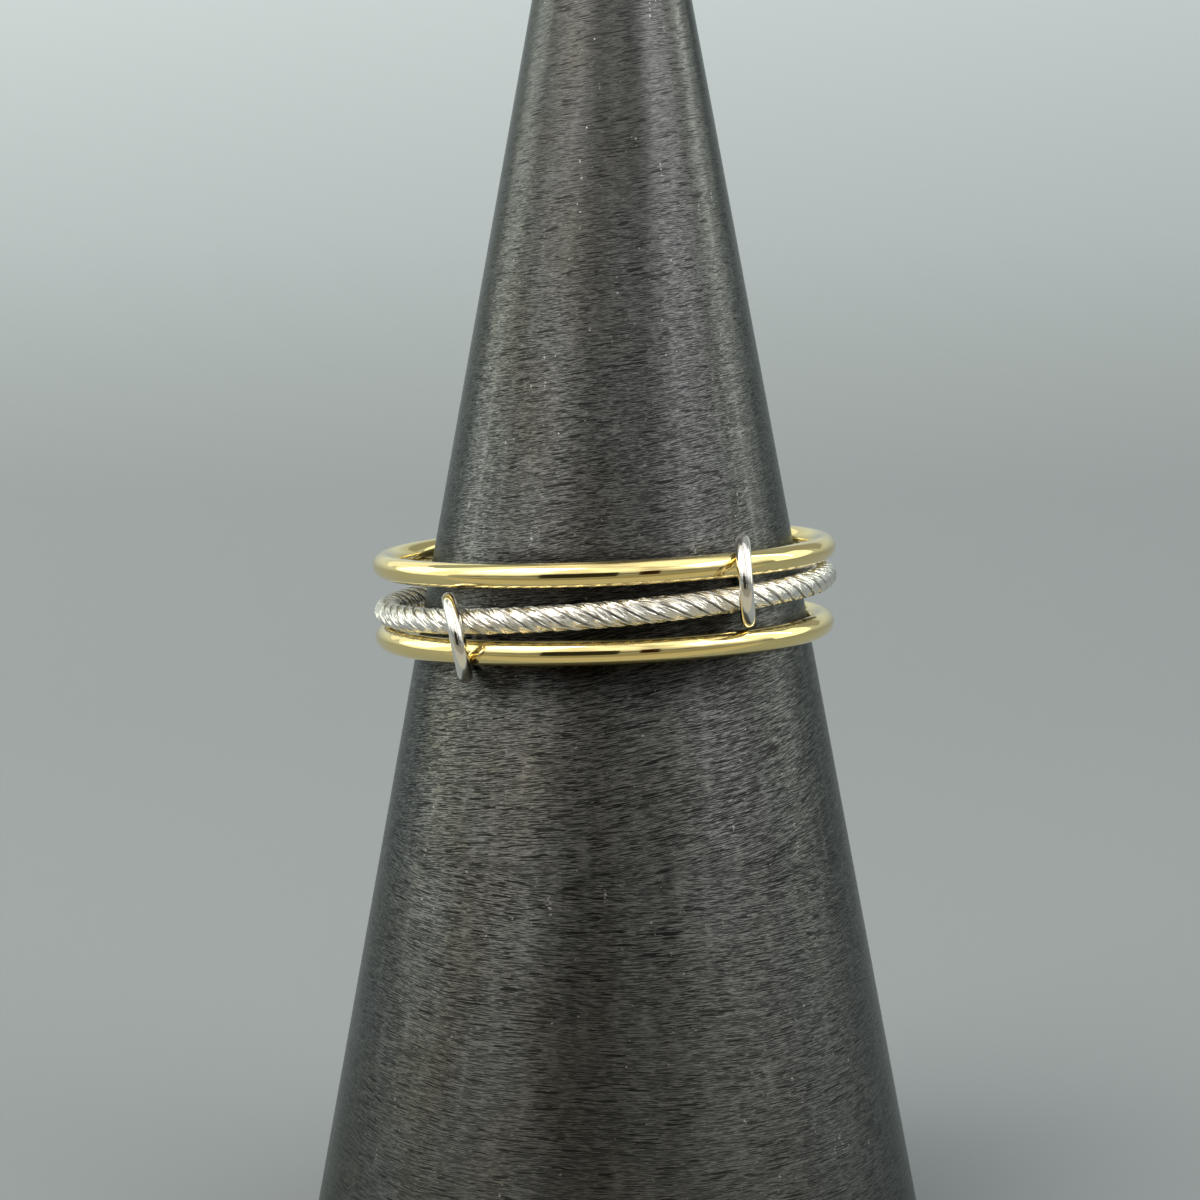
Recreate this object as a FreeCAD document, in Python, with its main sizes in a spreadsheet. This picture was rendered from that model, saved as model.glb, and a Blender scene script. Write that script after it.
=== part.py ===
"""Three-band gimmel ring on a plain display cone, in millimetres.

Two polished round-wire bands lie above and below a twisted band, and two
small wire links hold them together: the upper link goes round the top and
middle bands, the lower link round the middle and bottom bands. The ring hangs
round a solid turned cone. The origin is the centre of the cone's flat base,
+Z is up and the two links face -Y, the front.
"""
import FreeCAD, Part
import math
import os

import Sketcher

# Driving dimensions: name, value. Lengths are millimetres, angles degrees.
SIZES = [
    ("cone_height", 60.0),
    ("cone_base_radius", 13.42),
    ("cone_tip_radius", 2.4),
    ("cone_edge_round", 0.5),
    ("wire_diameter", 1.0),
    ("twist_diameter", 1.03),
    ("twist_groove_depth", 0.075),
    ("twist_shoulder_angle", 14.0),
    ("twist_lobes", 6),
    ("twist_turns", 13),
    ("twist_sections", 156),
    ("link_wire_diameter", 0.6),
    ("link_radius", 1.54),
    ("top_bore", 17.38),
    ("middle_bore", 17.34),
    ("bottom_bore", 17.28),
]

# Where each band hangs on the cone: centre, then how far its front and its
# right side are tipped up.
BAND_SEATS = {
    "top": {"side": -0.435, "depth": -0.333, "level": 30.554, "front_up": 1.38, "right_up": 2.18},
    "middle": {"side": -0.379, "depth": -0.38, "level": 28.99, "front_up": 1.47, "right_up": 4.55},
    "bottom": {"side": -0.41, "depth": -0.19, "level": 27.44, "front_up": 1.81, "right_up": 1.75},
}

# Where each link hangs round its two bands: centre, turn about the upright
# and how far its top leans to the right.
LINK_SEATS = {
    "upper": {"side": 5.104, "depth": -7.72, "level": 30.289, "swivel": -2.6, "lean": -4.1},
    "lower": {"side": -6.187, "depth": -7.29, "level": 28.025, "swivel": 5.5, "lean": -11.1},
}

FULL_TURN = 360.0
V_AXIS = -2
H_AXIS = -1


def make_sheet(doc):
    """Write every driving dimension into a spreadsheet under its own name."""
    sheet = doc.addObject("Spreadsheet::Sheet", "sizes")
    rows = list(SIZES)
    for seats, piece in ((BAND_SEATS, "band"), (LINK_SEATS, "link")):
        for name, seat in seats.items():
            rows += [(f"{name}_{piece}_{key}", value) for key, value in seat.items()]
    for row, (alias, value) in enumerate(rows, start=1):
        sheet.set(f"A{row}", alias)
        sheet.set(f"B{row}", str(value))
        sheet.setAlias(f"B{row}", alias)
    doc.recompute()
    return sheet


def new_body(doc, label):
    """Add an empty body that carries the sub-part's name."""
    body = doc.addObject("PartDesign::Body", label)
    body.Label = label
    return body


def front_sketch(body, name):
    """Add a sketch on the body's own XZ plane."""
    plane = next(f for f in body.Origin.OriginFeatures if f.Role == "XZ_Plane")
    sketch = body.newObject("Sketcher::SketchObject", name)
    sketch.AttachmentSupport = [(plane, "")]
    sketch.MapMode = "FlatFace"
    return sketch


def bind(sketch, constraint, name, expression):
    """Add a named constraint and tie its value to the sheet."""
    index = sketch.addConstraint(constraint)
    sketch.renameConstraint(index, name)
    sketch.setExpression(f"Constraints.{name}", expression)


def revolve(body, sketch, axis, name):
    """Turn the sketch all the way round one of its own axes."""
    turn = body.newObject("PartDesign::Revolution", name)
    turn.Profile = sketch
    turn.ReferenceAxis = (sketch, [axis])
    turn.Angle = FULL_TURN
    sketch.Visibility = False
    body.Tip = turn
    return turn


def seat_expression(prefix, pitch, roll, yaw="0"):
    """Placement of a band or link, from the named cells of its seat."""
    centre = f"vector(sizes.{prefix}_side; sizes.{prefix}_depth; sizes.{prefix}_level)"
    return f"placement({centre}; rotation({yaw}; {pitch}; {roll}))"


def wire_ring(doc, label, axis, ring_radius, wire_diameter):
    """Make a hoop of round wire about the local Z axis or the local X axis."""
    body = new_body(doc, label)
    sketch = front_sketch(body, f"{label}_section")
    upright = axis == "V_Axis"
    ring = 9.0
    centre = FreeCAD.Vector(ring, 0, 0) if upright else FreeCAD.Vector(0, ring, 0)
    circle = sketch.addGeometry(Part.Circle(centre, FreeCAD.Vector(0, 0, 1), 0.5), False)
    on_axis = H_AXIS if upright else V_AXIS
    sketch.addConstraint(Sketcher.Constraint("PointOnObject", circle, 3, on_axis))
    away = "DistanceX" if upright else "DistanceY"
    bind(sketch, Sketcher.Constraint(away, -1, 1, circle, 3, ring), "ring_radius", ring_radius)
    bind(sketch, Sketcher.Constraint("Diameter", circle, 1.0), "wire", wire_diameter)
    revolve(body, sketch, axis, f"{label}_hoop")
    return body


def plain_band(doc, position):
    """Make the polished round-wire band at the top or the bottom."""
    label = f"{position}_band"
    radius = f"(sizes.{position}_bore + sizes.wire_diameter) / 2"
    body = wire_ring(doc, label, "V_Axis", radius, "sizes.wire_diameter")
    pitch, roll = f"-sizes.{label}_right_up", f"-sizes.{label}_front_up"
    body.setExpression("Placement", seat_expression(label, pitch, roll))
    return body


def wire_link(doc, position):
    """Make the small link that goes round two neighbouring bands."""
    label = f"{position}_link"
    body = wire_ring(doc, label, "H_Axis", "sizes.link_radius", "sizes.link_wire_diameter")
    pitch, yaw = f"sizes.{label}_lean", f"sizes.{label}_swivel"
    body.setExpression("Placement", seat_expression(label, pitch, "0", yaw))
    return body


def twist_section(sheet):
    """Angle and radius of each corner of the grooved wire's section.

    Each lobe is a groove and two shoulders with a flat facet between them.
    """
    crest = sheet.get("twist_diameter") / 2
    groove = crest - sheet.get("twist_groove_depth")
    shoulder = sheet.get("twist_shoulder_angle")
    lobe_angle = FULL_TURN / sheet.get("twist_lobes")
    corners = []
    for lobe in range(int(sheet.get("twist_lobes"))):
        start = lobe * lobe_angle
        corners.append((start, groove))
        corners.append((start + shoulder, crest))
        corners.append((start + lobe_angle - shoulder, crest))
    return corners


def twisted_band(doc, sheet):
    """Make the middle band: a grooved wire, twisted evenly along a hoop.

    The section is repeated round the hoop and joined by triangles. The whole
    number of lobes in the twist lets the last section meet the first.
    """
    corners = twist_section(sheet)
    count = len(corners)
    sections = int(sheet.get("twist_sections"))
    turns = sheet.get("twist_turns")
    hoop_radius = (sheet.get("middle_bore") + sheet.get("twist_diameter")) / 2
    closing_shift = round(turns * count) % count

    def corner_point(section, corner):
        if section == sections:
            section, corner = 0, corner - closing_shift
        angle, radius = corners[corner % count]
        round_hoop = math.radians(FULL_TURN * section / sections)
        round_wire = math.radians(angle - FULL_TURN * turns * section / sections)
        reach = hoop_radius + radius * math.cos(round_wire)
        height = radius * math.sin(round_wire)
        return FreeCAD.Vector(reach * math.cos(round_hoop), reach * math.sin(round_hoop), height)

    faces = []
    for section in range(sections):
        for corner in range(count):
            near, near_next = corner_point(section, corner), corner_point(section, corner + 1)
            far, far_next = corner_point(section + 1, corner), corner_point(section + 1, corner + 1)
            for triangle in ((near, far, far_next), (near, far_next, near_next)):
                faces.append(Part.Face(Part.makePolygon(list(triangle) + [triangle[0]])))
    solid = Part.makeSolid(Part.makeShell(faces))
    if solid.Volume < 0:
        solid.reverse()
    band = doc.addObject("Part::Feature", "middle_band")
    band.Label = "middle_band"
    band.Shape = solid
    pitch, roll = "-sizes.middle_band_right_up", "-sizes.middle_band_front_up"
    band.setExpression("Placement", seat_expression("middle_band", pitch, roll))
    return band


def display_cone(doc, sheet):
    """Make the solid cone: flat base with a broken edge, rounded tip."""
    body = new_body(doc, "display_cone")
    sketch = front_sketch(body, "cone_outline")
    base = sheet.get("cone_base_radius")
    height = sheet.get("cone_height")
    tip = sheet.get("cone_tip_radius")
    tip_centre = FreeCAD.Vector(0, height - tip, 0)
    slope = math.atan2(base, tip_centre.y) - math.asin(tip / math.hypot(base, tip_centre.y))
    tangent = tip_centre + FreeCAD.Vector(tip * math.cos(slope), tip * math.sin(slope), 0)
    apex = FreeCAD.Vector(0, height, 0)
    origin = FreeCAD.Vector(0, 0, 0)
    rim = FreeCAD.Vector(base, 0, 0)
    tip_circle = Part.Circle(tip_centre, FreeCAD.Vector(0, 0, 1), tip)
    floor = sketch.addGeometry(Part.LineSegment(origin, rim), False)
    side = sketch.addGeometry(Part.LineSegment(rim, tangent), False)
    dome = sketch.addGeometry(Part.ArcOfCircle(tip_circle, slope, math.pi / 2), False)
    axis = sketch.addGeometry(Part.LineSegment(apex, origin), False)
    sketch.addConstraint([
        Sketcher.Constraint("Coincident", floor, 1, -1, 1),
        Sketcher.Constraint("Coincident", floor, 2, side, 1),
        Sketcher.Constraint("Tangent", side, 2, dome, 1),
        Sketcher.Constraint("Coincident", dome, 2, axis, 1),
        Sketcher.Constraint("Coincident", axis, 2, floor, 1),
        Sketcher.Constraint("Horizontal", floor),
        Sketcher.Constraint("PointOnObject", dome, 2, V_AXIS),
        Sketcher.Constraint("PointOnObject", dome, 3, V_AXIS),
    ])
    bind(sketch, Sketcher.Constraint("DistanceX", floor, 1, floor, 2, base),
         "base_radius", "sizes.cone_base_radius")
    bind(sketch, Sketcher.Constraint("DistanceY", floor, 1, dome, 2, height),
         "height", "sizes.cone_height")
    bind(sketch, Sketcher.Constraint("Radius", dome, tip), "tip_radius", "sizes.cone_tip_radius")
    cone = revolve(body, sketch, "V_Axis", "cone_turning")
    doc.recompute()
    rim_name = next(
        f"Edge{number}" for number, edge in enumerate(cone.Shape.Edges, start=1)
        if isinstance(edge.Curve, Part.Circle) and abs(edge.Curve.Radius - base) < 0.01
    )
    edge_round = body.newObject("PartDesign::Fillet", "cone_base_edge")
    edge_round.Base = (cone, [rim_name])
    edge_round.setExpression("Radius", "sizes.cone_edge_round")
    body.Tip = edge_round
    return body


def check_document(doc, parts):
    """Stop if any object failed or any sub-part has no sound solid."""
    for item in doc.Objects:
        if "Invalid" in item.State or "Error" in item.State:
            raise RuntimeError(f"{item.Label} did not build: {item.State}")
    for part in parts:
        if part.Shape.isNull() or not part.Shape.isValid() or len(part.Shape.Solids) != 1:
            raise RuntimeError(f"{part.Label} is not one sound solid")


def main():
    """Build every sub-part, check it and write its STEP file."""
    doc = FreeCAD.newDocument("gimmel_ring")
    sheet = make_sheet(doc)
    parts = [
        plain_band(doc, "top"),
        twisted_band(doc, sheet),
        plain_band(doc, "bottom"),
        wire_link(doc, "upper"),
        wire_link(doc, "lower"),
        display_cone(doc, sheet),
    ]
    doc.recompute()
    check_document(doc, parts)
    os.makedirs("parts", exist_ok=True)
    for part in parts:
        part.Shape.exportStep(f"parts/{part.Label}.step")
        box = part.Shape.BoundBox
        print(f"{part.Label}: {part.Shape.Volume:.3f} mm3, "
              f"{box.XLength:.2f} x {box.YLength:.2f} x {box.ZLength:.2f} mm, "
              f"z {box.ZMin:.2f} to {box.ZMax:.2f}")
    return {part.Label: part.Shape for part in parts}


SHAPES = main()
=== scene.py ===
"""Looks of a three-band gimmel ring on its display cone.

Two polished yellow gold hoops and a twisted white gold one hang round a
blackened steel cone, held together by two small white gold rings. Sizes are
in millimetres until a mesh is made, and every mesh is in metres in the frame
of the solids: +Z up, the front towards -Y, the origin under the cone.
"""
import logging
import math
from dataclasses import dataclass
from enum import Enum
from typing import Any, NamedTuple, Sequence

import bpy
from mathutils import Matrix, Vector


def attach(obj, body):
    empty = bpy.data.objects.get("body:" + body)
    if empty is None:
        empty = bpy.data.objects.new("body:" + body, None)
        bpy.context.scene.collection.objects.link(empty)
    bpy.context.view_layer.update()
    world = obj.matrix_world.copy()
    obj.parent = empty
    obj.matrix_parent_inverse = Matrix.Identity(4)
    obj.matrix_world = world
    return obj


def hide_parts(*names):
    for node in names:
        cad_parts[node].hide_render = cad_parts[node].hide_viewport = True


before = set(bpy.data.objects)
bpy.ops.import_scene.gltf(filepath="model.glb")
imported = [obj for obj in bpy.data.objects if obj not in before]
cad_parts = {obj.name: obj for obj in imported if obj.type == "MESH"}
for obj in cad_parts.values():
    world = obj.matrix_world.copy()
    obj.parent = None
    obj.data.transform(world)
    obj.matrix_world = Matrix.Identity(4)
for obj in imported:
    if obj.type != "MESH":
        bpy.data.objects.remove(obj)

LOG = logging.getLogger("gimmel_ring")
MM = 0.001
PHOTO_SIDE = 1200
SENSOR_WIDTH = 36.0
RING_MIDDLE = Vector((0.0, 0.0, 0.03))
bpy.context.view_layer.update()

# Blender's names of the nodes that are used most.
MATHS = "ShaderNodeMath"
VECTORS = "ShaderNodeVectorMath"
NOISE = "ShaderNodeTexNoise"
RANGE = "ShaderNodeMapRange"

Node = bpy.types.Node
Tree = bpy.types.NodeTree


class MetalColour(Enum):
    """Reflected colour of each metal, as sRGB hex."""

    YELLOW_GOLD = "F4DE9B"
    WHITE_GOLD = "EFEBE2"
    GROOVE_BLACK = "53514E"
    BLACKENED_STEEL = "595957"
    BARE_STEEL = "C9C7C0"
    STEEL_BRUSH_EDGE = "B0AFA9"
    STEEL_BRUSH_LIGHT = "838380"
    STEEL_BRUSH_DARK = "313130"
    STEEL_STRAW_TINT = "A3966A"
    STEEL_GLANCE = "DADEDE"


class StudioColour(Enum):
    """Colours of the studio, as sRGB hex."""

    TABLE_NEAR = "D6D2BE"
    TABLE_FAR = "A8A591"
    # Tones of the paper up the sweep, with painted light that brightens it higher up.
    PAPER_LIT_LOW = "898F90"
    PAPER_LIT_MIDDLE = "A1A9AA"
    PAPER_LIT_HIGH = "C4CDCE"
    LIGHT_WARM = "FFF8EC"
    LIGHT_COOL = "EEF4FF"
    LIGHT_DAY = "F4FAF2"
    DARK_CARD = "2C2A22"
    BROWN_CARD = "2E170E"
    SKY_LEVEL = "595B59"
    SKY_LOW = "6C6F6F"
    SKY_MIDDLE = "BCBDBC"
    SKY_HIGH = "FFFFFC"


class Change(NamedTuple):
    """A value that goes over from one number to another between two places."""

    start: float
    end: float
    before: float = 0.0
    after: float = 1.0


def linear(colour: Enum) -> tuple[float, float, float, float]:
    """Turn an sRGB hex colour into the linear values that shaders read.

    Args:
        colour: Enum member that holds six hex digits.

    Returns:
        Red, green, blue and an alpha of 1.
    """
    shares = [int(colour.value[i:i + 2], 16) / 255 for i in (0, 2, 4)]
    red, green, blue = [s / 12.92 if s <= 0.04045 else ((s + 0.055) / 1.055) ** 2.4 for s in shares]
    return (red, green, blue, 1.0)


def add(tree: Tree, kind: str, inputs: dict[Any, Any] | Sequence[Any] = (),
        stops: Sequence[tuple[float, Enum]] = (), **settings: Any) -> Node:
    """Add a node, set it up and link it.

    Args:
        tree: Tree that gets the node.
        kind: Blender's name of the node's type.
        inputs: What each input gets, by its name or number, or else in order. A
            socket is linked, and so is the first output of a node.
        stops: Place from 0 to 1 and colour of each stop of a colour ramp, in order.
        settings: Properties of the node itself.

    Returns:
        The new node.
    """
    made = tree.nodes.new(kind)
    for name, value in settings.items():
        setattr(made, name, value)
    named = inputs if isinstance(inputs, dict) else dict(enumerate(inputs))
    for key, value in named.items():
        source = value.outputs[0] if isinstance(value, Node) else value
        if isinstance(source, bpy.types.NodeSocket):
            tree.links.new(source, made.inputs[key])
        else:
            made.inputs[key].default_value = source
    for number, (place, colour) in enumerate(stops):
        ramp = made.color_ramp.elements
        stop = ramp[number] if number < len(ramp) else ramp.new(place)
        stop.position, stop.color = place, linear(colour)
    return made


def cleared(owner: bpy.types.Material | bpy.types.World) -> Tree:
    """Switch on the nodes of a material or world, and empty its tree.

    Args:
        owner: The material or world.

    Returns:
        Its empty tree.
    """
    owner.use_nodes = True
    owner.node_tree.nodes.clear()
    return owner.node_tree


def put(name: str, data: bpy.types.ID) -> bpy.types.Object:
    """Put a mesh, light or camera into the scene.

    Args:
        name: Name of the new object.
        data: The mesh, light or camera.

    Returns:
        The object, at the origin.
    """
    made = bpy.data.objects.new(name, data)
    bpy.context.scene.collection.objects.link(made)
    return made


def skin(name: str, points: Sequence[Sequence[float]], faces: Sequence[Sequence[int]],
         material: bpy.types.Material) -> bpy.types.Object:
    """Make a smooth mesh of points and faces and put it into the scene.

    Args:
        name: Name of the mesh and its object.
        points: The points, in metres.
        faces: Numbers of each face's points.
        material: Material of the whole mesh.

    Returns:
        The object, at the origin.
    """
    mesh = bpy.data.meshes.new(name)
    mesh.from_pydata(points, [], faces)
    mesh.shade_smooth()
    mesh.materials.append(material)
    return put(name, mesh)


@dataclass(frozen=True)
class Finish:
    """A metal and how its surface was made: base of the finishes below.

    Their sizes, lengths, heights and levels are in mm.
    """

    name: str
    colour: MetalColour
    roughness: float

    def material(self) -> bpy.types.Material:
        """Build the material: a metallic shader with the finish's own pattern.

        Returns:
            The finished material.
        """
        material = bpy.data.materials.new(self.name)
        tree = cleared(material)
        coordinates = add(tree, "ShaderNodeTexCoord").outputs["Object"]
        place = add(tree, VECTORS, {0: coordinates, "Scale": 1 / MM}, operation="SCALE")
        metal = add(tree, "ShaderNodeBsdfPrincipled", {
            "Base Color": linear(self.colour), "Metallic": 1.0, "Roughness": self.roughness}
            | self.pattern(tree, place))
        add(tree, "ShaderNodeOutputMaterial", {"Surface": metal})
        return material

    def pattern(self, tree: Tree, place: Node) -> dict[str, Any]:
        """Inputs of the shader that the pattern drives, which are none on even metal."""
        return {}


@dataclass(frozen=True)
class PolishedWire(Finish):
    """Gold wire, drawn, bent round and polished by hand.

    It is a mirror with the metal's own tint. Drawing and bending leave a soft
    wave that makes its reflections waver along the hoop, and the buff leaves
    hairlines that blur them a little. Real hairlines are a few hundredths of
    hairline_size. They are drawn a pixel and a half of the photograph wide, so
    that they show.
    """

    wave_size: float = 1.8
    wave_height: float = 0.006
    hairline_size: float = 0.06
    hairline_height: float = 0.00022
    hairline_stretch: tuple[float, float, float] = (0.12, 0.12, 1.0)
    patches_per_mm: float = 0.9
    best_polish: float = 0.7
    worst_polish: float = 1.5

    def pattern(self, tree: Tree, place: Node) -> dict[str, Any]:
        """Add the wave, the hairlines and the patches of better and worse polish.

        Args:
            tree: Shader tree.
            place: Coordinates in millimetres.

        Returns:
            Inputs of the shader.
        """
        wave = add(tree, NOISE, {
            "Vector": place, "Scale": 1 / self.wave_size, "Detail": 1.0, "Roughness": 0.4})
        drawn = add(tree, VECTORS, [place, self.hairline_stretch], operation="MULTIPLY")
        hairline = add(tree, NOISE, {
            "Vector": drawn, "Scale": 1 / self.hairline_size, "Detail": 2.0, "Roughness": 0.6})
        patch = add(tree, NOISE, {
            "Vector": place, "Scale": self.patches_per_mm, "Detail": 3.0})
        polish = add(tree, RANGE, {
            "Value": patch, "To Min": self.roughness * self.best_polish,
            "To Max": self.roughness * self.worst_polish})
        soft = add(tree, "ShaderNodeBump", {
            "Height": wave, "Distance": self.wave_height * MM})
        fine = add(tree, "ShaderNodeBump", {
            "Height": hairline, "Distance": self.hairline_height * MM, "Normal": soft})
        return {"Roughness": polish, "Normal": fine}


@dataclass(frozen=True)
class TwistedWire(Finish):
    """White gold wire, rolled into flat strands and twisted tight.

    The crests are rubbed bright and the grooves are darker and duller. Twisting crumples the flats
    into small facets, which glint one by one, and the draw plate leaves lines along the strands.
    Real lines are about a fifth of line_size wide, and are drawn coarser to show.
    """

    line_size: float = 0.055
    line_height: float = 0.028
    dent_size: float = 0.35
    dent_height: float = 0.012
    facet_length: float = 0.4
    facet_width: float = 0.13
    facet_height: float = 0.045
    groove_dark: float = 0.95
    groove_dullness: float = 3.0

    def pattern(self, tree: Tree, place: Node) -> dict[str, Any]:
        """Add facets, dents and lines, and darken the mesh's groove attribute.

        Args:
            tree: Shader tree.
            place: Coordinates in millimetres.

        Returns:
            Inputs of the shader.
        """
        groove = add(tree, "ShaderNodeAttribute", attribute_name="groove").outputs["Fac"]
        around = add(tree, "ShaderNodeAttribute", attribute_name="around_wire").outputs["Vector"]
        shade = add(tree, MATHS, [groove, self.groove_dark], operation="MULTIPLY")
        tone = add(tree, "ShaderNodeMix", {
            "Factor": shade, 6: linear(self.colour), 7: linear(MetalColour.GROOVE_BLACK)},
            data_type="RGBA").outputs[2]
        dullness = add(tree, RANGE, {
            "Value": groove, "To Min": self.roughness,
            "To Max": self.roughness * self.groove_dullness})
        along = add(tree, VECTORS, {0: place, "Scale": 1 / self.facet_length}, operation="SCALE")
        wound = add(tree, VECTORS, [around, [1 / self.facet_width] * 3, along],
                    operation="MULTIPLY_ADD")
        facets = add(tree, "ShaderNodeTexVoronoi", {"Vector": wound, "Scale": 1.0})
        dents = add(tree, NOISE, {
            "Vector": place, "Scale": 1 / self.dent_size, "Detail": 1.5, "Roughness": 0.5})
        lines = add(tree, NOISE, {
            "Vector": around, "Scale": 1 / self.line_size, "Detail": 2.5, "Roughness": 0.65})
        flats = add(tree, "ShaderNodeBump", {
            "Height": facets, "Distance": self.facet_height * MM})
        coarse = add(tree, "ShaderNodeBump", {
            "Height": dents, "Distance": self.dent_height * MM, "Normal": flats})
        fine = add(tree, "ShaderNodeBump", {
            "Height": lines, "Distance": self.line_height * MM, "Normal": coarse})
        return {"Base Color": tone, "Roughness": dullness, "Normal": fine}


@dataclass(frozen=True)
class BrushedSteel(Finish):
    """Turned mild steel, chemically blackened and brushed by hand round the cone.

    Brushing cuts bright lines through the black, and stretches highlights
    across them. Above one level the strokes climb to the right, and below it
    they run level. Real abrasive cuts finer lines than stroke_gap. They are
    drawn one pixel of the photograph apart, so that they show.
    """

    # Pitch, depth and length of the strokes, which are shorter higher up.
    stroke_gap: float = 0.042
    stroke_height: float = 0.0028
    upper_length: float = 0.8
    lower_length: float = 1.2
    shortening: tuple[float, float] = (24.0, 38.0)

    # How far each stroke's crest stands out from the ground between them.
    crest_sharpness: float = 13.0
    crest_share: float = 0.27
    crest_mean: float = 0.42
    ground_share: float = 0.45
    upper_contrast: Change = Change(24.0, 48.0, 2.1, 0.65)
    lower_contrast: Change = Change(6.0, 22.0, 0.45)

    # Slope of the strokes in degrees, where it ends and how they stray from it.
    climb: float = 10.0
    climb_ends_at: float = 19.0
    climb_end_raggedness: float = 4.0
    climb_end_size: float = 2.0
    flattening: Change = Change(24.0, 42.0, 1.0, 0.45)
    mean_radius: float = 8.0
    back_starts_at: float = 115.0
    wander: float = 0.35
    wanders_per_mm: float = 0.22

    # Tone up the cone, and the bands' shadow, painted as a darker belt on the cone's front.
    tone: Change = Change(11.0, 22.0, 1.25, 1.02)
    band_shadow_tone: float = 0.3
    band_shadow_bottom: Change = Change(24.8, 26.8)
    band_shadow_top: Change = Change(31.6, 31.0)
    band_shadow_front: Change = Change(0.6, 0.95)

    # Patches that a thin oxide film tints straw, most of them on the left.
    straws_per_mm: float = 0.4
    straw_stretch: tuple[float, float, float] = (1.0, 1.0, 0.35)
    straw_patch: Change = Change(0.42, 0.65, 0.0, 0.28)
    straw_side: Change = Change(1.0, -2.5, 0.2, 1.0)

    # Nicks, and upright scratches that show as rows of dots.
    nicks_per_mm: float = 0.8
    nick: Change = Change(0.035, 0.015)
    scratch_stretch: tuple[float, float, float] = (5.0, 5.0, 0.08)
    scratch: Change = Change(0.505, 0.58, 0.0, 0.6)
    scratch_dots_per_mm: float = 9.0

    # Stretch of the highlights across the strokes, and its turn as a share of a full one.
    anisotropy: float = 0.5
    anisotropy_turn: float = 0.25

    def climb_of(self, tree: Tree, across: bpy.types.NodeSocket, depth: bpy.types.NodeSocket,
                 level: bpy.types.NodeSocket, climb: float) -> Node:
        """Work out how far the strokes have climbed at each place round the cone.

        It rises to the right round the front, and falls back round the rear,
        so that the two sides meet at the back with no step.

        Args:
            tree: Shader tree.
            across: Coordinate to the right, in millimetres.
            depth: Coordinate to the back, in millimetres.
            level: Height in millimetres.
            climb: Slope of the strokes in degrees.

        Returns:
            Node of the climb in millimetres.
        """
        turn_point = math.radians(self.back_starts_at)
        nearness = add(tree, MATHS, [depth, -1.0], operation="MULTIPLY")
        azimuth = add(tree, MATHS, [across, nearness], operation="ARCTAN2")
        side = add(tree, MATHS, [azimuth], operation="ABSOLUTE")
        front = add(tree, MATHS, [side, turn_point], operation="MINIMUM")
        beyond = add(tree, MATHS, [side, turn_point], operation="SUBTRACT")
        rear = add(tree, MATHS, [beyond, 0.0], operation="MAXIMUM")
        fall = add(tree, MATHS, [rear, turn_point / (math.pi - turn_point)], operation="MULTIPLY")
        folded = add(tree, MATHS, [front, fall], operation="SUBTRACT")
        hand = add(tree, MATHS, [azimuth], operation="SIGN")
        signed = add(tree, MATHS, [folded, hand], operation="MULTIPLY")
        flatter = add(tree, RANGE, [level, *self.flattening])
        eased = add(tree, MATHS, [signed, flatter], operation="MULTIPLY")
        per_radian = self.mean_radius * math.tan(math.radians(climb))
        return add(tree, MATHS, [eased, per_radian], operation="MULTIPLY")

    def strokes(self, tree: Tree, place: Node, climb: float) -> Node:
        """Noise drawn out along the strokes, with a sharp crest on each.

        Args:
            tree: Shader tree.
            place: Coordinates in millimetres.
            climb: Slope of the strokes in degrees, rising to the right.

        Returns:
            Node of the strokes' height from 0 to 1.
        """
        across, depth, level = add(tree, "ShaderNodeSeparateXYZ", [place]).outputs
        rise = self.climb_of(tree, across, depth, level, climb)
        straight = add(tree, MATHS, [level, rise], operation="SUBTRACT")
        wander = add(tree, NOISE, {"Vector": place, "Scale": self.wanders_per_mm, "Detail": 0.0})
        drift = add(tree, MATHS, [wander, self.wander], operation="MULTIPLY")
        row = add(tree, MATHS, [straight, drift], operation="ADD")
        per_length = add(tree, RANGE, [
            level, *self.shortening, 1 / self.lower_length, 1 / self.upper_length])
        stretched = add(tree, "ShaderNodeCombineXYZ", [
            add(tree, MATHS, [across, per_length], operation="MULTIPLY"),
            add(tree, MATHS, [depth, per_length], operation="MULTIPLY"),
            add(tree, MATHS, [row, self.stroke_gap], operation="DIVIDE")])
        noise = add(tree, NOISE, {
            "Vector": stretched, "Scale": 1.0, "Detail": 2.0, "Roughness": 0.6})
        # The noise passes 0.5 along thin lines, and each of them becomes a crest.
        swing = add(tree, MATHS, [noise, 0.5], operation="SUBTRACT")
        ground = add(tree, MATHS, [swing, self.ground_share, 0.5], operation="MULTIPLY_ADD")
        off_crest = add(tree, MATHS, [swing], operation="ABSOLUTE")
        flank = add(tree, MATHS, [off_crest, self.crest_sharpness], operation="MULTIPLY")
        peak = add(tree, MATHS, [1.0, flank], operation="SUBTRACT")
        crest = add(tree, MATHS, [0.0, peak], operation="MAXIMUM")
        extra = add(tree, MATHS, [crest, self.crest_mean], operation="SUBTRACT")
        return add(tree, MATHS, [extra, self.crest_share, ground], operation="MULTIPLY_ADD")

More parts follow.
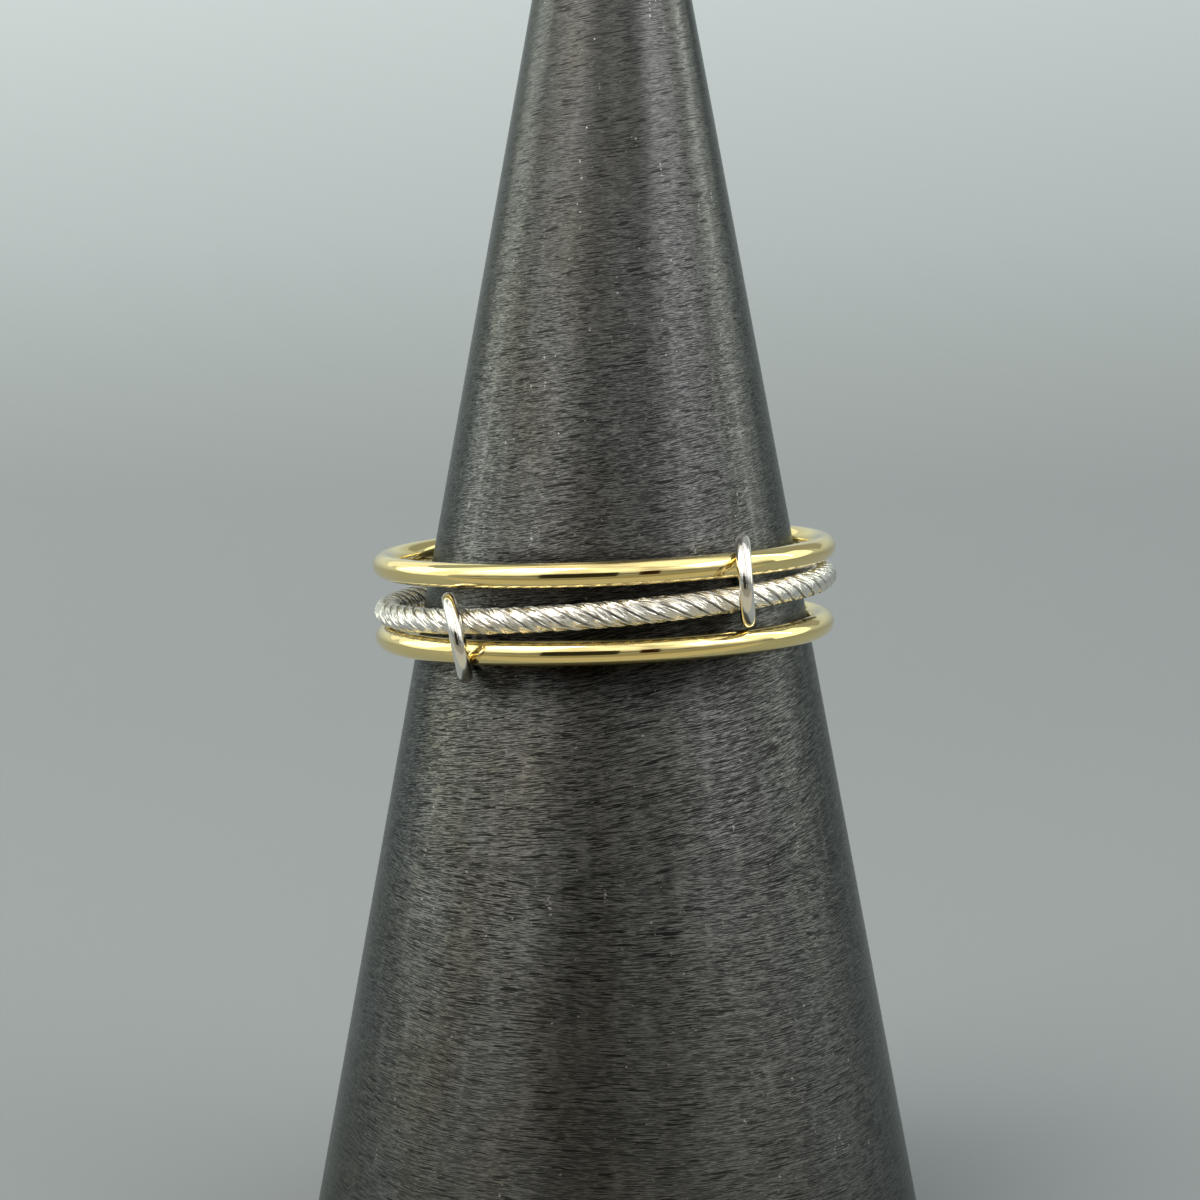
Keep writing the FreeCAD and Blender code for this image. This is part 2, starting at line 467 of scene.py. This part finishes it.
    def nicks(self, tree: Tree, place: Node) -> Node:
        """Bare steel in tiny nicks and in a few dotted upright scratches.

        Args:
            tree: Shader tree.
            place: Coordinates in millimetres.

        Returns:
            Node of the share of bare steel from 0 to 1.
        """
        cell = add(tree, "ShaderNodeTexVoronoi", {"Vector": place, "Scale": self.nicks_per_mm})
        dot = add(tree, RANGE, [cell, *self.nick])
        upright = add(tree, VECTORS, [place, self.scratch_stretch], operation="MULTIPLY")
        line = add(tree, NOISE, {"Vector": upright, "Scale": 1.0, "Detail": 0.0})
        dots = add(tree, NOISE, {
            "Vector": place, "Scale": self.scratch_dots_per_mm, "Detail": 1.0})
        dotted = add(tree, MATHS, [line, dots], operation="MULTIPLY")
        scratch = add(tree, RANGE, [dotted, *self.scratch])
        return add(tree, MATHS, [dot, scratch], operation="MAXIMUM")

    def painted_band_shadow(self, tree: Tree, place: Node) -> Node:
        """Painted shadow of the bands: a darker belt on the cone behind their front.

        Args:
            tree: Shader tree.
            place: Coordinates in millimetres.

        Returns:
            Node of a factor from 1 down to the painted shadow's tone.
        """
        across, depth, level = add(tree, "ShaderNodeSeparateXYZ", [place]).outputs
        low, high = (add(tree, RANGE, [level, *edge], interpolation_type="SMOOTHSTEP")
                     for edge in (self.band_shadow_bottom, self.band_shadow_top))
        between = add(tree, MATHS, [low, high], operation="MULTIPLY")
        nearness = add(tree, MATHS, [depth, -1.0], operation="MULTIPLY")
        deep = add(tree, MATHS, [depth, depth], operation="MULTIPLY")
        wide = add(tree, MATHS, [across, across], operation="MULTIPLY")
        squares = add(tree, MATHS, [deep, wide], operation="ADD")
        radius = add(tree, MATHS, [squares], operation="SQRT")
        facing = add(tree, MATHS, [nearness, radius], operation="DIVIDE")
        front = add(tree, RANGE, [facing, *self.band_shadow_front], interpolation_type="SMOOTHSTEP")
        share = add(tree, MATHS, [front, between], operation="MULTIPLY")
        loss = add(tree, MATHS, [share, 1 - self.band_shadow_tone], operation="MULTIPLY")
        return add(tree, MATHS, [1.0, loss], operation="SUBTRACT")

    def relief(self, tree: Tree, place: Node, level: bpy.types.NodeSocket) -> Node:
        """Join the level strokes and the climbing ones, and set their contrast.

        Args:
            tree: Shader tree.
            place: Coordinates in millimetres.
            level: Height in millimetres.

        Returns:
            Node of the strokes' height, 0.5 on the whole.
        """
        ragged = add(tree, NOISE, {
            "Vector": place, "Scale": 1 / self.climb_end_size, "Detail": 3.0})
        shift = add(tree, MATHS, [ragged, self.climb_end_raggedness], operation="MULTIPLY")
        edge = add(tree, MATHS, [level, shift], operation="ADD")
        # Most of the noise lies between 0.4 and 0.6, so the two sorts change over there.
        above = add(tree, RANGE, [
            edge, self.climb_ends_at + 0.4 * self.climb_end_raggedness,
            self.climb_ends_at + 0.6 * self.climb_end_raggedness])
        height = add(tree, "ShaderNodeMix", {
            "Factor": above, 2: self.strokes(tree, place, 0.0),
            3: self.strokes(tree, place, self.climb)}, data_type="FLOAT")
        swing = add(tree, MATHS, [height, 0.5], operation="SUBTRACT")
        upper, lower = (add(tree, RANGE, [level, *contrast])
                        for contrast in (self.upper_contrast, self.lower_contrast))
        contrast = add(tree, MATHS, [upper, lower], operation="MULTIPLY")
        return add(tree, MATHS, [swing, contrast, 0.5], operation="MULTIPLY_ADD")

    def pattern(self, tree: Tree, place: Node) -> dict[str, Any]:
        """Add strokes, straw-coloured patches, nicks, the tones up the cone and the bands' painted
        shadow.

        Args:
            tree: Shader tree.
            place: Coordinates in millimetres.

        Returns:
            Inputs of the shader.
        """
        across, _, level = add(tree, "ShaderNodeSeparateXYZ", [place]).outputs
        height = self.relief(tree, place, level)
        stroke_tone = add(tree, "ShaderNodeValToRGB", [height], stops=[
            (0.38, MetalColour.STEEL_BRUSH_DARK), (0.53, self.colour),
            (0.7, MetalColour.STEEL_BRUSH_LIGHT), (0.92, MetalColour.STEEL_BRUSH_EDGE)])
        upright = add(tree, VECTORS, [place, self.straw_stretch], operation="MULTIPLY")
        patch = add(tree, NOISE, {"Vector": upright, "Scale": self.straws_per_mm, "Detail": 3.0})
        straw = add(tree, MATHS, [
            add(tree, RANGE, [patch, *self.straw_patch]),
            add(tree, RANGE, [across, *self.straw_side])], operation="MULTIPLY")
        tinted = add(tree, "ShaderNodeMix", {
            "Factor": straw, 6: stroke_tone, 7: linear(MetalColour.STEEL_STRAW_TINT)},
            data_type="RGBA", blend_type="OVERLAY").outputs[2]
        nicked = add(tree, "ShaderNodeMix", {
            "Factor": self.nicks(tree, place), 6: tinted,
            7: linear(MetalColour.BARE_STEEL)}, data_type="RGBA").outputs[2]
        fade = add(tree, RANGE, [level, *self.tone])
        # Painted shade: the bands' shadow darkens the cone's colour here.
        shade = add(tree, MATHS, [fade, self.painted_band_shadow(tree, place)], operation="MULTIPLY")
        return {
            "Base Color": add(tree, VECTORS, {0: nicked, "Scale": shade}, operation="SCALE"),
            "Normal": add(tree, "ShaderNodeBump", {
                "Height": height, "Distance": self.stroke_height * MM}),
            "Specular Tint": linear(MetalColour.STEEL_GLANCE),
            "Anisotropic": self.anisotropy,
            "Anisotropic Rotation": self.anisotropy_turn,
            "Tangent": add(tree, "ShaderNodeTangent", direction_type="RADIAL", axis="Z")}


def new_geometry_tree(name: str, sizes: dict[str, float]) -> Tree:
    """Start a Geometry Nodes tree with named inputs.

    Args:
        name: Name of the tree.
        sizes: Name and default value of each input.

    Returns:
        The tree, whose interface is complete.
    """
    tree = bpy.data.node_groups.new(name, "GeometryNodeTree")
    tree.interface.new_socket("Geometry", in_out="OUTPUT", socket_type="NodeSocketGeometry")
    for label, size in sizes.items():
        socket = tree.interface.new_socket(label, in_out="INPUT", socket_type="NodeSocketFloat")
        socket.default_value = size
    return tree


def grow(name: str, tree: Tree, sizes: dict[str, float], turn: Matrix) -> bpy.types.Object:
    """Run a geometry tree and keep its result as a plain mesh.

    Args:
        name: Name of the new object.
        tree: Geometry Nodes tree that makes the mesh.
        sizes: Value of each named input.
        turn: Place of the mesh, put into its vertices.

    Returns:
        An object at the origin with the finished mesh.
    """
    carrier = put(f"{name}_carrier", bpy.data.meshes.new(f"{name}_carrier"))
    modifier = carrier.modifiers.new("grow", "NODES")
    modifier.node_group = tree
    for item in tree.interface.items_tree:
        if item.in_out == "INPUT":
            modifier[item.identifier] = sizes[item.name]
    bpy.context.view_layer.update()
    evaluated = carrier.evaluated_get(bpy.context.evaluated_depsgraph_get())
    mesh = bpy.data.meshes.new_from_object(evaluated)
    bpy.data.objects.remove(carrier)
    mesh.name = name
    mesh.transform(turn)
    mesh.shade_smooth()
    return put(name, mesh)


@dataclass
class Seat:
    """Where a hoop hangs: its centre and how it is turned, in mm and degrees."""

    side: float
    depth: float
    level: float
    swivel: float = 0.0
    right_up: float = 0.0
    front_up: float = 0.0
    upright: bool = False

    def matrix(self) -> Matrix:
        """Turn and place of a hoop made flat about Z, in metres.

        Returns:
            The matrix for its vertices.
        """
        place = Matrix.Translation(Vector((self.side, self.depth, self.level)) * MM)
        turn = (Matrix.Rotation(math.radians(self.swivel), 4, "Z")
                @ Matrix.Rotation(math.radians(-self.right_up), 4, "Y")
                @ Matrix.Rotation(math.radians(-self.front_up), 4, "X"))
        stand = Matrix.Rotation(math.radians(90), 4, "Y") if self.upright else Matrix()
        return place @ turn @ stand


@dataclass
class Hoop:
    """A closed hoop of round wire that replaces one solid, with its sizes in mm.

    Unevenness is what drawing and bending leave: how far the surface strays
    from a true one, and over what length.
    """

    name: str
    node: str
    slot: str
    seat: Seat
    hoop_radius: float
    wire_radius: float
    finish: Finish
    seed: float
    hoop_steps: int = 512
    wire_steps: int = 64
    unevenness: float = 0.006
    unevenness_size: float = 3.5
    unevenness_detail: float = 0.0

    def sizes(self) -> dict[str, float]:
        """Values of the tree's inputs, in metres."""
        return {"Hoop Radius": self.hoop_radius * MM, "Wire Radius": self.wire_radius * MM,
                "Unevenness": self.unevenness * MM}

    def path(self, tree: Tree, given: Node) -> Node:
        """Circle along the middle of the wire."""
        return add(tree, "GeometryNodeCurvePrimitiveCircle", {
            "Resolution": self.hoop_steps, "Radius": given.outputs["Hoop Radius"]})

    def section(self, tree: Tree, given: Node) -> Node:
        """Round section of the wire."""
        return add(tree, "GeometryNodeCurvePrimitiveCircle", {
            "Resolution": self.wire_steps, "Radius": given.outputs["Wire Radius"]})

    def tree(self) -> Tree:
        """Geometry tree: a section swept along a path, then made slightly uneven.

        Returns:
            The tree, with its sizes as named inputs.
        """
        tree = new_geometry_tree(f"{self.name}_rule", self.sizes())
        given = add(tree, "NodeGroupInput")
        swept = add(tree, "GeometryNodeCurveToMesh", {
            "Curve": self.path(tree, given), "Profile Curve": self.section(tree, given)})
        noise = add(tree, NOISE, {
            "Scale": 1 / (self.unevenness_size * MM), "Detail": self.unevenness_detail,
            "W": self.seed}, noise_dimensions="4D")
        swing = add(tree, MATHS, [noise, 0.5], operation="SUBTRACT")
        reach = add(tree, MATHS, [swing, given.outputs["Unevenness"]], operation="MULTIPLY")
        outward = add(tree, "GeometryNodeInputNormal")
        push = add(tree, VECTORS, {0: outward, "Scale": reach}, operation="SCALE")
        uneven = add(tree, "GeometryNodeSetPosition", {"Geometry": swept, "Offset": push})
        real = add(tree, "GeometryNodeRealizeInstances", {"Geometry": uneven})
        dressed = add(tree, "GeometryNodeSetMaterial", {
            "Geometry": real, "Material": self.finish.material()})
        add(tree, "NodeGroupOutput", {"Geometry": dressed})
        return tree

    def build(self) -> bpy.types.Object:
        """Make the piece and hand it to the frame.

        Returns:
            The finished piece.
        """
        piece = grow(self.name, self.tree(), self.sizes(), self.seat.matrix())
        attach(piece, "root")
        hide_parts(self.node)
        return piece


@dataclass
class TwistedHoop(Hoop):
    """The middle band: a grooved wire with flat strands, twisted along the hoop.

    Groove width is a share of half a strand, and flatness goes from 0, a round
    crest, to 1, a flat one. Sway is how far the twist runs ahead and behind, in
    radians, in two waves with that many to the hoop.
    """

    hoop_steps: int = 960
    wire_steps: int = 84
    unevenness: float = 0.05
    unevenness_size: float = 0.55
    unevenness_detail: float = 1.0
    lobes: int = 6
    turns: int = 13
    groove_depth: float = 0.11
    groove_width: float = 0.28
    groove_roundness: float = 1.4
    flatness: float = 0.75
    sway: float = 0.07
    sway_waves: tuple[float, float] = (7.0, 17.0)

    def sizes(self) -> dict[str, float]:
        """Values of the tree's inputs, in metres."""
        return super().sizes() | {
            "Groove Depth": self.groove_depth * MM, "Turns": float(self.turns)}

    def path(self, tree: Tree, given: Node) -> Node:
        """Circle with a tilt that winds the section round it, with a slight sway.

        Args:
            tree: Geometry tree.
            given: The tree's inputs.

        Returns:
            Node of the tilted circle.
        """
        index = add(tree, "GeometryNodeInputIndex")
        along = add(tree, MATHS, [index, float(self.hoop_steps)], operation="DIVIDE")
        azimuth = add(tree, MATHS, [along, 2 * math.pi], operation="MULTIPLY")
        waves = []
        for count in self.sway_waves:
            phase = add(tree, MATHS, [azimuth, count], operation="MULTIPLY")
            waves.append(add(tree, MATHS, [phase], operation="SINE"))
        both = add(tree, MATHS, waves, operation="ADD")
        sway = add(tree, MATHS, [self.sway, both], operation="MULTIPLY")
        wound = add(tree, MATHS, [azimuth, given.outputs["Turns"]], operation="MULTIPLY")
        tilt = add(tree, MATHS, [sway, wound], operation="ADD")
        return add(tree, "GeometryNodeSetCurveTilt", {
            "Curve": super().path(tree, given), "Tilt": tilt})

    def section(self, tree: Tree, given: Node) -> Node:
        """Section with a flat on each strand and a groove between each two.

        The mesh keeps two things for the finish: the groove attribute, 1 in
        the middle of each groove, and around_wire, the place in the section.

        Args:
            tree: Geometry tree.
            given: The tree's inputs.

        Returns:
            Node of the finished section.
        """
        half_lobe = math.pi / self.lobes
        circle = add(tree, "GeometryNodeCurvePrimitiveCircle", {
            "Resolution": self.wire_steps, "Radius": 1.0})
        place = add(tree, "GeometryNodeInputPosition")
        right, up, _ = add(tree, "ShaderNodeSeparateXYZ", [place]).outputs
        signed = add(tree, MATHS, [up, right], operation="ARCTAN2")
        angle = add(tree, MATHS, [signed, 2 * math.pi], operation="ADD")
        from_groove = add(tree, MATHS, [angle, half_lobe], operation="PINGPONG")
        share = add(tree, MATHS, [from_groove, half_lobe], operation="DIVIDE")
        steps_off = add(tree, MATHS, [share, self.groove_width], operation="DIVIDE")
        inside = add(tree, MATHS, [1.0, steps_off], operation="SUBTRACT")
        slope = add(tree, MATHS, [inside, 0.0], operation="MAXIMUM")
        groove = add(tree, MATHS, [slope, self.groove_roundness], operation="POWER")
        off_crest = add(tree, MATHS, [half_lobe, from_groove], operation="SUBTRACT")
        cosine = add(tree, MATHS, [off_crest], operation="COSINE")
        chord = add(tree, MATHS, [math.cos(half_lobe * (1 - self.groove_width)), cosine],
                    operation="DIVIDE")
        eased = add(tree, "ShaderNodeMix", {"Factor": self.flatness, 2: 1.0, 3: chord},
                    data_type="FLOAT")
        flat = add(tree, MATHS, [1.0, eased], operation="MINIMUM")
        crest = add(tree, MATHS, [flat, given.outputs["Wire Radius"]], operation="MULTIPLY")
        depth = add(tree, MATHS, [groove, given.outputs["Groove Depth"]], operation="MULTIPLY")
        radius = add(tree, MATHS, [crest, depth], operation="SUBTRACT")
        moved = add(tree, VECTORS, {0: place, "Scale": radius}, operation="SCALE")
        lobed = add(tree, "GeometryNodeSetPosition", {"Geometry": circle, "Position": moved})
        marked = add(tree, "GeometryNodeStoreNamedAttribute", {
            "Geometry": lobed, "Name": "groove", "Value": groove},
            data_type="FLOAT", domain="POINT")
        in_mm = add(tree, VECTORS, {
            0: add(tree, "GeometryNodeInputPosition"), "Scale": 1 / MM}, operation="SCALE")
        return add(tree, "GeometryNodeStoreNamedAttribute", {
            "Geometry": marked, "Name": "around_wire", "Value": in_mm},
            data_type="FLOAT_VECTOR", domain="POINT")


@dataclass
class DisplayCone:
    """The solid cone: straight side, rounded tip, flat base with a broken edge."""

    height: float = 60.0
    base_radius: float = 13.42
    tip_radius: float = 2.4
    edge_round: float = 0.5
    steps_round: int = 256
    steps_up: int = 96
    steps_tip: int = 20
    steps_edge: int = 8
    finish: Finish = BrushedSteel("blackened_brushed_steel", MetalColour.BLACKENED_STEEL, 0.3)

    def outline(self) -> list[tuple[float, float]]:
        """Radius and height of the turned outline, from the base's rim to the tip.

        Returns:
            Points from bottom to top, without the two on the axis.
        """
        tip_level = self.height - self.tip_radius
        slope = math.atan2(self.base_radius, tip_level) - math.asin(
            self.tip_radius / math.hypot(self.base_radius, tip_level))
        half_corner = (math.pi / 2 - slope) / 2
        edge_centre = self.base_radius - self.edge_round / math.tan(half_corner)
        points = []
        for step in range(self.steps_edge + 1):
            angle = -math.pi / 2 + (math.pi / 2 + slope) * step / self.steps_edge
            points.append((edge_centre + self.edge_round * math.cos(angle),
                           self.edge_round + self.edge_round * math.sin(angle)))
        low = points[-1]
        high = (self.tip_radius * math.cos(slope), tip_level + self.tip_radius * math.sin(slope))
        for step in range(1, self.steps_up):
            share = step / self.steps_up
            points.append((low[0] + (high[0] - low[0]) * share, low[1] + (high[1] - low[1]) * share))
        for step in range(self.steps_tip):
            angle = slope + (math.pi / 2 - slope) * step / self.steps_tip
            points.append((self.tip_radius * math.cos(angle),
                           tip_level + self.tip_radius * math.sin(angle)))
        return points

    def build(self) -> bpy.types.Object:
        """Turn the outline into a closed mesh and hand it to the frame.

        Returns:
            The finished piece.
        """
        outline = self.outline()
        count = self.steps_round
        points = [(0.0, 0.0, 0.0), (0.0, 0.0, self.height * MM)]
        for radius, level in outline:
            for step in range(count):
                angle = 2 * math.pi * step / count
                points.append((radius * math.cos(angle) * MM, radius * math.sin(angle) * MM,
                               level * MM))
        faces: list[tuple[int, ...]] = []
        last = 2 + (len(outline) - 1) * count
        for step in range(count):
            following = (step + 1) % count
            faces.append((0, 2 + following, 2 + step))
            faces.append((1, last + step, last + following))
            for row in range(len(outline) - 1):
                low, high = 2 + row * count, 2 + (row + 1) * count
                faces.append((low + step, low + following, high + following, high + step))
        piece = skin("display_cone_turned", points, faces, self.finish.material())
        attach(piece, "root")
        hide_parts("display_cone")
        return piece


@dataclass
class GimmelRing:
    """The three bands and the two links, in their seats on the cone."""

    top_radius: float = 9.19
    middle_radius: float = 9.185
    bottom_radius: float = 9.14
    wire_radius: float = 0.5
    twist_radius: float = 0.515
    link_radius: float = 1.54
    link_wire_radius: float = 0.3
    gold: Finish = PolishedWire("polished_yellow_gold", MetalColour.YELLOW_GOLD, 0.07)
    twist: Finish = TwistedWire("twisted_white_gold", MetalColour.WHITE_GOLD, 0.13)
    link_finish: Finish = PolishedWire(
        "worn_white_gold", MetalColour.WHITE_GOLD, 0.1, wave_size=0.45, wave_height=0.010,
        hairline_size=0.05, hairline_height=0.002)

    def hoops(self) -> list[Hoop]:
        """List every hoop with its seat and size.

        Returns:
            The hoops, from the top band down, then the links.
        """
        top = Seat(side=-0.435, depth=-0.333, level=30.554, front_up=1.38, right_up=2.18)
        middle = Seat(side=-0.379, depth=-0.38, level=28.99, front_up=1.47, right_up=4.55)
        bottom = Seat(side=-0.41, depth=-0.19, level=27.44, front_up=1.81, right_up=1.75)
        upper = Seat(side=5.104, depth=-7.72, level=30.289, swivel=-2.6, right_up=4.1, upright=True)
        lower = Seat(side=-6.187, depth=-7.29, level=28.025, swivel=5.5, right_up=11.1, upright=True)
        link = {"hoop_radius": self.link_radius, "wire_radius": self.link_wire_radius,
                "finish": self.link_finish, "seed": 19.0, "hoop_steps": 160, "wire_steps": 48}
        return [
            Hoop("top_band_polished", "top_band", "yellow_gold", top, self.top_radius,
                 self.wire_radius, self.gold, seed=17.0),
            TwistedHoop("middle_band_twisted", "middle_band", "white_metal", middle,
                        self.middle_radius, self.twist_radius, self.twist, seed=3.0),
            Hoop("bottom_band_polished", "bottom_band", "yellow_gold", bottom, self.bottom_radius,
                 self.wire_radius, self.gold, seed=20.0),
            Hoop("upper_link_polished", "upper_link", "white_metal", upper, **link),
            Hoop("lower_link_polished", "lower_link", "white_metal", lower, **link),
        ]

    def build(self) -> list[bpy.types.Object]:
        """Make every hoop."""
        return [hoop.build() for hoop in self.hoops()]


@dataclass
class PhotoCamera:
    """The camera that took the photograph, fitted to the bands and the cone.

    Its place is in mm and its angles in degrees. What it sees lies between
    nearest and farthest, in metres.
    """

    distance: float = 102.14
    level: float = 41.94
    look_down: float = 7.474
    look_right: float = -0.342
    roll: float = 0.298
    focal_pixels: float = 2441.0
    nearest: float = 0.002
    farthest: float = 20.0

    def build(self) -> bpy.types.Object:
        """Make the camera and set it as the scene's.

        Returns:
            The camera object.
        """
        data = bpy.data.cameras.new("photo_camera")
        data.sensor_width = SENSOR_WIDTH
        data.lens = self.focal_pixels / PHOTO_SIDE * SENSOR_WIDTH
        data.clip_start, data.clip_end = self.nearest, self.farthest
        camera = put("photo_camera", data)
        down, right = math.radians(self.look_down), math.radians(self.look_right)
        forward = Vector((math.sin(right) * math.cos(down), math.cos(right) * math.cos(down),
                          -math.sin(down)))
        aim = forward.to_track_quat("-Z", "Y").to_matrix().to_4x4()
        place = Matrix.Translation(Vector((0.0, -self.distance, self.level)) * MM)
        camera.matrix_world = place @ aim @ Matrix.Rotation(math.radians(-self.roll), 4, "Z")
        bpy.context.scene.camera = camera
        return camera


@dataclass(frozen=True)
class Card:
    """A glowing card that only reflections see, with its sizes in metres."""

    name: str
    centre: tuple[float, float, float]
    width: float
    height: float
    colour: StudioColour
    glow: float
    flat: bool = False

    def build(self) -> bpy.types.Object:
        """Make the card, flat on the floor or facing the ring.

        Returns:
            The card.
        """
        material = bpy.data.materials.new(f"{self.name}_finish")
        tree = cleared(material)
        light = add(tree, "ShaderNodeEmission", [linear(self.colour), self.glow])
        add(tree, "ShaderNodeOutputMaterial", {"Surface": light})
        corners = [(side * self.width / 2, 0.0, rise * self.height / 2)
                   for side, rise in ((-1, -1), (1, -1), (1, 1), (-1, 1))]
        card = skin(self.name, corners, [(0, 1, 2, 3)], material)
        away = (Vector(self.centre) - RING_MIDDLE).normalized()
        turn = (Matrix.Rotation(math.pi / 2, 4, "X") if self.flat
                else away.to_track_quat("-Y", "Z").to_matrix().to_4x4())
        card.data.transform(Matrix.Translation(Vector(self.centre)) @ turn)
        card.visible_camera = False
        card.visible_diffuse = False
        card.visible_shadow = False
        return card


@dataclass(frozen=True)
class Softbox:
    """A square soft light that points at the ring, in metres and watts."""

    name: str
    centre: tuple[float, float, float]
    size: float
    power: float
    colour: StudioColour

    def build(self) -> bpy.types.Object:
        """Make the light.

        Returns:
            The light object.
        """
        data = bpy.data.lights.new(self.name, "AREA")
        data.shape = "SQUARE"
        data.size = self.size
        data.energy = self.power
        data.color = linear(self.colour)[:3]
        lamp = put(self.name, data)
        aim = (RING_MIDDLE - Vector(self.centre)).to_track_quat("-Z", "Y")
        lamp.matrix_world = Matrix.Translation(Vector(self.centre)) @ aim.to_matrix().to_4x4()
        return lamp


@dataclass
class Studio:
    """Pale paper sweep, soft light and the cards that the metal reflects, in metres."""

    sweep_width: float = 3.0
    floor_front: float = -2.5
    floor_back: float = 0.13
    sweep_radius: float = 0.55
    wall_height: float = 1.6
    steps: int = 32
    # Painted light on the paper: darker to the right, and lighter up the sweep to a level.
    paper_painted_shade: Change = Change(-0.17, 0.17, 1.0, 0.88)
    paper_painted_light_top: float = 0.2
    sky_sides: Change = Change(0.3, 0.98, 1.2, 2.6)
    sky_clutter: Change = Change(0.35, 0.65, 0.55, 1.35)

    def sweep(self) -> bpy.types.Object:
        """Make the floor and backdrop as one curved sheet of paper.

        Returns:
            The sheet.
        """
        line = [(self.floor_front, 0.0), (self.floor_back, 0.0)]
        for step in range(1, self.steps + 1):
            angle = math.pi / 2 * step / self.steps
            line.append((self.floor_back + self.sweep_radius * math.sin(angle),
                         self.sweep_radius * (1 - math.cos(angle))))
        line.append((line[-1][0], self.wall_height))
        half = self.sweep_width / 2
        points = [(side, depth, level) for depth, level in line for side in (-half, half)]
        faces = [(2 * i, 2 * i + 1, 2 * i + 3, 2 * i + 2) for i in range(len(line) - 1)]
        sheet = skin("paper_sweep", points, faces, self.paper())
        return sheet

    def paper(self) -> bpy.types.Material:
        """Matt pale paper, with painted light: lighter higher up and darker to the right.

        Uncoated paper has no gloss, so the cards on the floor don't show in it.

        Returns:
            The material.
        """
        material = bpy.data.materials.new("pale_paper_painted_light")
        tree = cleared(material)
        coordinates = add(tree, "ShaderNodeTexCoord").outputs["Object"]
        across, _, level = add(tree, "ShaderNodeSeparateXYZ", [coordinates]).outputs
        height = add(tree, RANGE, {"Value": level, "From Max": self.paper_painted_light_top})
        # Painted light: the paper gets lighter up the sweep.
        tone = add(tree, "ShaderNodeValToRGB", [height], stops=[
            (0.0, StudioColour.PAPER_LIT_LOW), (0.06, StudioColour.PAPER_LIT_LOW),
            (0.25, StudioColour.PAPER_LIT_MIDDLE), (0.75, StudioColour.PAPER_LIT_HIGH)])
        # Painted shade: the paper gets darker to the right.
        fade = add(tree, RANGE, [across, *self.paper_painted_shade])
        shaded = add(tree, VECTORS, {0: tone, "Scale": fade}, operation="SCALE")
        paper = add(tree, "ShaderNodeBsdfPrincipled", {
            "Base Color": shaded, "Roughness": 0.95, "Specular IOR Level": 0.0})
        add(tree, "ShaderNodeOutputMaterial", {"Surface": paper})
        return material

    def sky(self) -> bpy.types.World:
        """Soft room light: bright above, dimmer at the horizon, uneven all round.

        Returns:
            The world, set as the scene's.
        """
        world = bpy.data.worlds.new("soft_room")
        tree = cleared(world)
        direction = add(tree, "ShaderNodeTexCoord").outputs["Generated"]
        across, _, level = add(tree, "ShaderNodeSeparateXYZ", [direction]).outputs
        tone = add(tree, "ShaderNodeValToRGB", [level], stops=[
            (0.0, StudioColour.SKY_LEVEL), (0.12, StudioColour.SKY_LOW),
            (0.3, StudioColour.SKY_MIDDLE), (0.5, StudioColour.SKY_HIGH)])
        sideways = add(tree, MATHS, [across], operation="ABSOLUTE")
        sides = add(tree, RANGE, [sideways, *self.sky_sides], interpolation_type="SMOOTHSTEP")
        clutter = add(tree, NOISE, {
            "Vector": direction, "Scale": 2.6, "Detail": 2.0, "Roughness": 0.6})
        uneven = add(tree, RANGE, [clutter, *self.sky_clutter])
        strength = add(tree, MATHS, [sides, uneven], operation="MULTIPLY")
        glow = add(tree, "ShaderNodeBackground", [tone, strength])
        add(tree, "ShaderNodeOutputWorld", {"Surface": glow})
        bpy.context.scene.world = world
        return world

    def lights(self) -> list[Softbox | Card]:
        """List the lights, and the cards with what each one gives the metal.

        Returns:
            Each light and card, not yet made.
        """
        warm, cool, day = StudioColour.LIGHT_WARM, StudioColour.LIGHT_COOL, StudioColour.LIGHT_DAY
        dark, brown = StudioColour.DARK_CARD, StudioColour.BROWN_CARD
        near, far = StudioColour.TABLE_NEAR, StudioColour.TABLE_FAR
        return [
            Softbox("key_softbox", (-0.35, -0.25, 0.65), 0.4, 3.0, warm),
            Softbox("fill_softbox", (0.55, -0.3, 0.45), 0.4, 0.8, cool),
            # The dark core along the front of the polished wires.
            Card("front_shade", (-0.025, -0.118, 0.035), 0.08, 0.075, dark, 1.0),
            # The sharp light line down the right of the cone.
            Card("bright_strip", (0.6, 0.17, 0.42), 0.022, 0.5, day, 20.0),
            # The broad sheen down the left of the cone, with its soft edges.
            Card("left_softbox", (-0.6, 0.22, 0.3), 0.34, 0.36, day, 2.8),
            Card("left_screen", (-0.85, 0.25, 0.3), 0.9, 0.58, day, 1.3),
            # The lit right side and both outlines of the cone.
            Card("right_screen", (0.85, 0.28, 0.3), 0.6, 0.58, day, 1.6),
            Card("left_back_screen", (-0.33, 0.57, 0.3), 0.4, 0.4, day, 1.2),
            Card("right_back_shade", (0.33, 0.57, 0.3), 0.4, 0.4, day, 0.35),
            # The light undersides of the bands.
            Card("table_near", (0.0, -0.034, 0.0005), 0.3, 0.036, near, 0.75, flat=True),
            Card("table_far", (0.0, -0.152, 0.0004), 0.5, 0.2, far, 0.75, flat=True),
            # A warm right end to the dark core.
            Card("brown_shade", (0.043, -0.112, 0.036), 0.02, 0.06, brown, 1.0),
        ]

    def build(self) -> None:
        """Set up the whole studio."""
        self.sweep()
        self.sky()
        for light in self.lights():
            light.build()
        view = bpy.context.scene.view_settings
        view.view_transform = "Standard"
        view.look = "None"


def main() -> None:
    """Build the camera, the object and the studio, and log each piece's face count."""
    logging.basicConfig(level=logging.INFO)
    PhotoCamera().build()
    pieces = [DisplayCone().build()] + GimmelRing().build()
    for piece in pieces:
        LOG.info("%s: %d faces", piece.name, len(piece.data.polygons))
    Studio().build()


if __name__ == "__main__":
    main()
